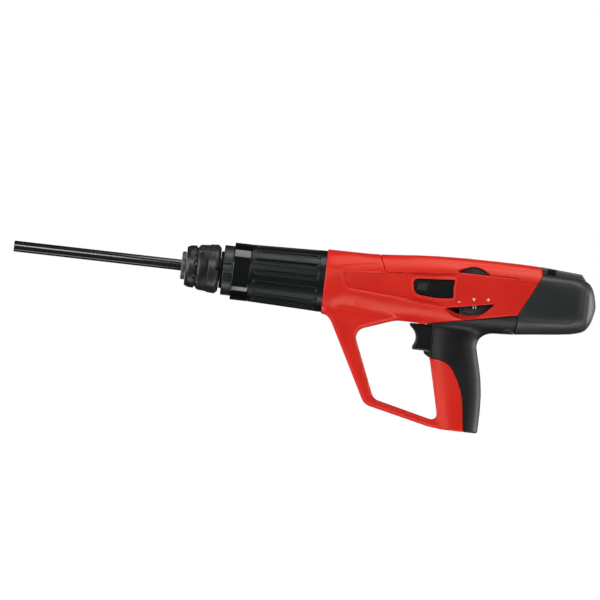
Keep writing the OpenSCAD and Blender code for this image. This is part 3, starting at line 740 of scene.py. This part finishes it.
def build_cap():
    """The hollow rear cap, with a faintly sunk panel on each side."""
    space = Space((500, -36, -40), (588, 36, 42), 0.7)
    solid = body_field(space, CAP_ROWS, CAP_EASING)
    panel = side(space, [(490, 25, 0), (563.6, 25, 7), (563.6, -14.6, 7), (490, -18, 0)])
    sunk = 0.35 * step_up(-panel, 3.5) * step_up(np.abs(space.y) - 12, 8)
    cap = cut(solid + sunk, side(space, CAP_REGION) + seam_tongue(solid) + SEAM, SEAM_ROUND)
    cap = carve(cap, solid + WALL)
    finish_piece(skin("cap_shell", space, cap), "housing", "cap_plastic", CAP_PLASTIC, "rear_cap")


# Share of the faces kept on the small parts
SMALL_KEEP = 0.6


def build_status_strip():
    """The flat module on top of the cap, with a dark side button and a small window."""
    space = Space((521, -19, 26), (576, 19, 42), 0.4)
    form = [(525.6, 39, 0.8), (567.4, 35.9, 3), (572.4, 29.6, 4), (572, 27, 0), (526.6, 27, 0)]
    strip = slab(side(space, form), space.y, 15, 2.2)
    cap = body_field(space, CAP_ROWS, CAP_EASING)
    strip = carve(strip, cap - 0.1)
    groove = np.abs(space.z - 34.6 + (space.x - 525) * 0.06) - 0.3
    strip = carve(strip, np.maximum(groove, 14.4 - np.abs(space.y)), 0.3)
    pocket = block(space, (532.6, 541.4), (-17, -10), (31.4, 37.6), 0.6)
    strip = carve(strip, pocket, 0.4)
    lens_room = block(space, (544, 562), (-8, 8), (36.3, 42), 1)
    piece = skin("strip_body", space, carve(strip, lens_room, 0.4), SMALL_KEEP)
    finish_piece(piece, "housing", "strip_plastic", STRIP, "status_module")

    top = 37.45 - (space.x - 544) * 0.074
    lens = cut(block(space, (544.2, 561.8), (-7.8, 7.8), (36.4, 42), 1), space.z - top, 0.5)
    piece = skin("strip_lens", space, lens, SMALL_KEEP)
    finish_piece(piece, "housing", "lens", LENS, "status_lens")

    face = block(space, (533.2, 540.9), (-20, 20), (32, 37.2), 0.8)
    piece = skin("strip_button", space, slab(face, space.y + 13.6, 1.7, 0.6), SMALL_KEEP)
    finish_piece(piece, "status_button", "control_black", CONTROL, "status_button")


def build_trigger():
    """The trigger's blade with its finger hollow, and the seat of its spring."""
    space = Space((398, -11, -60), (435, 11, -28), 0.4)
    form = [(401.8, -31.4, 0.8), (412, -31, 0), (432, -31, 1), (432, -57.4, 1), (407.2, -57.4, 1.4)]
    face = carve(side(space, form), rod(space.x, space.z, (396.4, -46), 13), 1.6)
    blade = slab(face, space.y, 8.8, 2.6)
    seat = np.maximum(rod(space.y, space.z, (0, -44), 4.4), 430 - space.x)
    piece = skin("trigger_blade", space, carve(blade, seat), SMALL_KEEP)
    finish_piece(piece, "trigger", "control_black", CONTROL, "trigger")


def build_release_button():
    """The dished side button with four leaning ribs, cut away behind for the power wheel."""
    space = Space((396, -37, -8), (446, -26, 20), 0.35)
    face = side(space, BUTTON_WINDOW) + 0.5
    dish = 0.9 * step_up(-rod(space.x, space.z, (452, 7), 36), 6)
    key = slab(face, space.y + 31.2 - dish / 2, 2.2 - dish / 2, 0.7)
    lean = (space.z - 6) * 0.2
    for x in (406.6, 409, 411.4, 413.8):
        rib = cut(rod(space.x - lean, space.y, (x, -33.2), 0.62), np.abs(space.z - 5.8) - 4, 0.8)
        key = join(key, rib, 0.5)
    wheel_room = block(space, (432.8, 446), (-31.1, -25), (-10, 22))
    piece = skin("release_key", space, carve(key, wheel_room), 0.5)
    finish_piece(piece, "release_button", "control_black", CONTROL, "release_button")


BOX_FACES = ((0, 1, 3, 2), (4, 6, 7, 5), (0, 4, 5, 1), (2, 3, 7, 6), (0, 2, 6, 4), (1, 5, 7, 3))
KNURLS = 48
# Middle plane and half thickness of the wheel's disc, and the radius of its hub's bore
WHEEL_Y, WHEEL_HALF, HUB_BORE = -26.3, 2.1, 2.05
# Degrees round the wheel: the middle level's place at rest, and the step to the next one
LEVEL_ANGLE, LEVEL_STEP = -79, 58


def build_wheel():
    """The knurled power wheel with its level marks."""
    space = Space((436, -30, -18), (486, -23, 31.5), 0.35)
    dx, dz = space.x - WHEEL[0], space.z - WHEEL[1]
    radius, angle = np.hypot(dx, dz), np.arctan2(dz, dx)
    knurl = 0.5 * np.cos(KNURLS * angle) * step_up(radius - 18, 1.5)
    rim = radius - (WHEEL_RADIUS - 0.5) - knurl
    wheel = slab(rim, space.y - WHEEL_Y + knurl * 0.6, WHEEL_HALF - np.abs(knurl) * 0.6, 0.4)
    trough = np.maximum(np.abs(radius - 11) - 3, -27.7 - space.y)
    wheel = carve(wheel, np.maximum(trough, space.y + 27.4), 0.4)
    wheel = carve(wheel, radius - HUB_BORE)
    piece = skin("power_dial", space, wheel, SMALL_KEEP)
    finish_piece(piece, "power_wheel", "control_black", WHEEL_PLASTIC, "power_wheel")
    for count in (1, 2, 3):
        build_level(count, math.radians(LEVEL_ANGLE + LEVEL_STEP * (count - 2)))


def build_level(count, angle):
    """A group of bars on the power wheel: one for low, two for medium and three for high."""
    out = np.array([math.cos(angle), 0, math.sin(angle)])
    along_rim = np.array([-math.sin(angle), 0, math.cos(angle)])
    outwards = np.array([0, -1, 0])
    length, width, thick, pitch = 3, 1.1, 0.3, 2.5
    middle = np.array([WHEEL[0], -28.44, WHEEL[1]]) + 15.6 * out
    points, faces = [], []
    for i in range(count):
        centre = middle + along_rim * pitch * (i - (count - 1) / 2)
        first = len(points)
        for a, b, c in np.ndindex(2, 2, 2):
            corner = centre + out * (a - 0.5) * length + along_rim * (b - 0.5) * width
            points.append(corner + outwards * (c - 0.5) * thick)
        faces += [[first + v for v in face] for face in BOX_FACES]
    bars = new_object("wheel_level_%d" % count, mesh_of("level", place(points), faces))
    finish_piece(bars, "power_wheel", "control_black", WHITE)


# ---------------------------------------------------------------- turned front parts


def build_tube():
    """The guide tube and the collar behind it."""
    tube = turned("tube_long", [
        (0, 4.1, 0.3), (0, 5.5, 0.9), (168.6, 5.5, 0), (212, 5.3, 0), (212, 3.5, 0), (40, 3.5, 0),
        (40, 4.1, 0),
    ], sides=64)
    finish_piece(tube, "return_unit", "blued_steel", TUBE, "guide_tube")

    collar = turned("collar_ring", [
        (168.5, 5.35, 0), (168.5, 14, 1.4), (172.5, 14, 0.5), (172.5, 5.35, 0),
    ])
    finish_piece(collar, "return_unit", "black_ring", COLLAR, "tube_collar")


def spread_round(angle, count, first):
    """The angle to the nearest of `count` places round the barrel, of which one is at `first`."""
    pitch = 2 * math.pi / count
    return np.abs((angle - first + pitch / 2) % pitch - pitch / 2)


def nut_relief(x, angle):
    """The nut's wavy groove, three label pads, lands between them and six bites behind."""
    wave = 182.1 + 0.8 * np.cos(18 * angle)
    groove = 2.0 * step_up(x - wave, 0.5) * step_up(184.4 - x, 0.8)
    pad = spread_round(angle, 3, math.pi)
    label = 1.0 * step_up(math.radians(43) - pad, 0.03) * step_up(5.4 - np.abs(x - 190.1), 0.5)
    lands = 0.5 * step_up(pad - math.radians(49), 0.06) * step_up(7.5 - np.abs(x - 195), 1.0)
    notch = spread_round(angle, 6, 0)
    bite = 2.4 * step_up(math.radians(5) - notch, 0.05) * step_up(x - 203.4, 0.8)
    return groove + label + lands + bite


def build_nut():
    """The guide nut, and a darker ring that shows in its label pads: partly the label, partly painted
    shade in the recess.
    """
    nut = turned("nut_body", [
        (172.9, 12.1, 0), (172.9, 19.2, 1.2), (176.6, 20.9, 3), (182, 21.3, 0), (184.6, 21.6, 0.8),
        (186.6, 23.3, 1.5), (203.6, 24.6, 2.5), (206.9, 21.6, 2), (206.9, 12.1, 0),
    ], nut_relief, sides=240, spacing=0.45)
    finish_piece(nut, "guide_nut", "grey_polymer", NUT, "guide_nut")

    # The darker ring stands partly for the label and partly for painted shade in the pads' recess.
    label_and_shade = turned("nut_label_and_shade", [
        (186.9, 20.5, 0), (186.9, 22.65, 0), (195.2, 23.3, 0), (195.2, 20.5, 0),
    ])
    finish_piece(label_and_shade, "guide_nut", "grey_polymer", GRIP)


def build_neck():
    """The base that carries the tube, seen as the neck between nut and socket."""
    neck = turned("neck_base", [
        (173, 5.35, 0), (173, 12, 0), (207.3, 12, 0), (207.3, 18.5, 0.5), (210, 18.5, 0), (210, 12, 0),
        (236, 12, 0), (236, 3.6, 0), (212, 3.6, 0), (212, 5.35, 0),
    ])
    finish_piece(neck, "return_unit", "bright_steel", NUT, "guide_base")


def socket_relief(x, angle):
    """The socket's four wide slots and four fine ones."""
    front = step_up(218.6 - x, 0.6)
    slot = spread_round(angle, 4, math.pi - math.radians(9.4))
    fine = spread_round(angle, 4, math.pi + math.radians(2))
    deep = 2.2 * step_up(math.radians(7) - slot, 0.03) * front
    return deep + 0.6 * step_up(math.radians(1.5) - fine, 0.02) * front


def build_socket():
    """The castellated socket and the gloss ring behind it."""
    socket = turned("socket_ring", [
        (210, 12.1, 0), (210, 25, 1.0), (219.9, 25, 0.6), (219.9, 20.5, 0), (239.8, 20.5, 0),
        (239.8, 16.9, 0), (250, 16.9, 0), (250, 12.1, 0),
    ], socket_relief, sides=288, spacing=0.6)
    finish_piece(socket, "return_unit", "casting", SOCKET, "guide_socket")

    ring = turned("gloss_ring", [
        (220, 25.55, 0), (220, 28.6, 0.9), (237, 28.6, 0.7), (237, 25.55, 0),
    ], sides=160)
    finish_piece(ring, "return_unit", "black_ring", GLOSS, "front_ring")


def flutes(x, angle):
    """Sixteen round-ended flutes, measured on a cylinder of the sleeve's radius."""
    sleeve_radius = 30
    across = spread_round(angle, 16, math.pi - math.radians(5)) * sleeve_radius
    past = np.maximum(np.maximum(243.6 - x, x - 303.4), 0)
    return 1.7 * step_up(2.0 - np.hypot(across, past), 1.6)


def build_sleeve():
    """The fluted sleeve that slides into the body's mouth."""
    sleeve = turned("sleeve_fluted", [
        (237.1, 25.55, 0), (237.1, 28.5, 0.6), (305.6, 30.6, 0), (306.2, 30.75, 0), (314.2, 30.8, 0.4),
        (314.2, 25.55, 0),
    ], flutes, sides=512, spacing=0.9)
    finish_piece(sleeve, "return_unit", "grey_polymer", SLEEVE, "fluted_sleeve")


build_tube()
build_nut()
build_neck()
build_socket()
build_sleeve()
build_shells()
build_marks()
build_cap()
build_status_strip()
build_trigger()
build_release_button()
build_wheel()


# ---------------------------------------------------------------- studio

TILT = math.radians(-6.53)
MIDDLE = Vector(place([290.3, 0, -21.2]))
FOCAL_LENGTH = 600.0
SENSOR = 36.0
VIEW_WIDTH = 0.6
FLOOR_REACH, FLOOR_HEIGHT = 4.0, -0.9
FLOOR_GLOW = 0.75
# The world's light behind the object and in front of it, on the camera's side
DIM_BEHIND, DIM_FRONT = 0.03, 0.16
# Name, azimuth, elevation, distance, (width, height), radiance, and the point along x it faces.
# Azimuth 0 is the camera's side, + is to its right.
LIGHTS = [
    ("top_box", 0, 80, 1.2, (1.5, 0.73), 3.9, 0.4),
    ("low_box", 0, -72, 0.8, (1.3, 0.252), 5.4, 0.41),
    ("front_left_box", -60, 5, 1.8, (1.0, 1.5), 3.2, 0.0),
    ("front_right_box", 56, 5, 1.8, (1.4, 1.5), 1.25, 0.0),
    ("left_box", -106, 0, 1.5, (1.4, 1.2), 3, 0.0),
    ("right_box", 106, 0, 1.5, (1.0, 1.2), 6.5, 0.0),
    ("tube_box", 0, 24, 0.9, (0.24, 0.32), 8, -0.47),
    ("tube_low_box", 0, -80, 0.5, (0.22, 0.12), 3.5, -0.42),
]


def soft_box(name, azimuth, elevation, distance, size, radiance, about):
    """A rectangular soft light, which the camera doesn't see."""
    light = bpy.data.lights.new(name, "AREA")
    light.shape = "RECTANGLE"
    light.size, light.size_y = size
    light.energy = math.pi * size[0] * size[1] * radiance
    lamp = bpy.data.objects.new(name, light)
    bpy.context.scene.collection.objects.link(lamp)
    a, e = math.radians(azimuth), math.radians(elevation)
    out = Vector((math.sin(a) * math.cos(e), -math.cos(a) * math.cos(e), math.sin(e)))
    lamp.location = Vector((about, 0, ORIGIN[2])) + out * distance
    lamp.rotation_euler = out.to_track_quat("Z", "Y").to_euler()
    lamp.visible_camera = False


def build_world(scene):
    """White behind the object for the camera; for light, dim in front and nearly dark behind."""
    world = bpy.data.worlds.new("studio")
    world.use_nodes = True
    nodes, links = world.node_tree.nodes, world.node_tree.links
    dim = nodes["Background"]
    where = nodes.new("ShaderNodeTexCoord")
    split = nodes.new("ShaderNodeSeparateXYZ")
    links.new(where.outputs["Generated"], split.inputs["Vector"])
    fade = nodes.new("ShaderNodeMapRange")
    fade.inputs["From Min"].default_value = 0.3
    fade.inputs["From Max"].default_value = -0.8
    fade.inputs["To Min"].default_value = DIM_BEHIND
    fade.inputs["To Max"].default_value = DIM_FRONT
    links.new(split.outputs["Y"], fade.inputs["Value"])
    links.new(fade.outputs["Result"], dim.inputs["Strength"])
    dim.inputs["Color"].default_value = (0.92, 0.96, 1, 1)
    white = nodes.new("ShaderNodeBackground")
    white.inputs["Color"].default_value = (1, 1, 1, 1)
    ray = nodes.new("ShaderNodeLightPath")
    mix = nodes.new("ShaderNodeMixShader")
    links.new(ray.outputs["Is Camera Ray"], mix.inputs["Fac"])
    links.new(dim.outputs["Background"], mix.inputs[1])
    links.new(white.outputs["Background"], mix.inputs[2])
    links.new(mix.outputs["Shader"], nodes["World Output"].inputs["Surface"])
    scene.world = world


def build_floor():
    """A plain pale floor that glows a little, so that it stays pale from behind."""
    reach, height = FLOOR_REACH, FLOOR_HEIGHT
    corners = [(-reach, -reach), (reach, -reach), (reach, reach), (-reach, reach)]
    floor = new_object("floor", mesh_of("floor", [(*c, height) for c in corners], [(0, 1, 2, 3)]))
    pale = material("pale_floor", (0.8, 0.8, 0.8), 0.7, grain=0.02, tint=0.01)
    shader = pale.node_tree.nodes["Principled BSDF"]
    shader.inputs["Emission Color"].default_value = (1, 1, 1, 1)
    shader.inputs["Emission Strength"].default_value = FLOOR_GLOW
    floor.data.materials.append(pale)
    floor.visible_diffuse = False
    floor.visible_glossy = False


def build_camera(scene):
    """A camera square on to the tool's left side, far off with a long lens, tilted in its plane."""
    optics = bpy.data.cameras.new("camera")
    optics.lens = FOCAL_LENGTH
    optics.sensor_width = SENSOR
    optics.clip_end = 50
    camera = bpy.data.objects.new("camera", optics)
    scene.collection.objects.link(camera)
    distance = VIEW_WIDTH / 2 / (SENSOR / 2 / FOCAL_LENGTH)
    camera.location = MIDDLE + Vector((0, -distance, 0))
    camera.rotation_mode = "QUATERNION"
    level = Matrix.Rotation(math.radians(90), 3, "X")
    camera.rotation_quaternion = (Matrix.Rotation(TILT, 3, "Y") @ level).to_quaternion()
    scene.camera = camera


def build_studio():
    """World, floor, lights and camera."""
    scene = bpy.context.scene
    scene.view_settings.view_transform = "Standard"
    build_world(scene)
    build_floor()
    for light in LIGHTS:
        soft_box(*light)
    build_camera(scene)


build_studio()
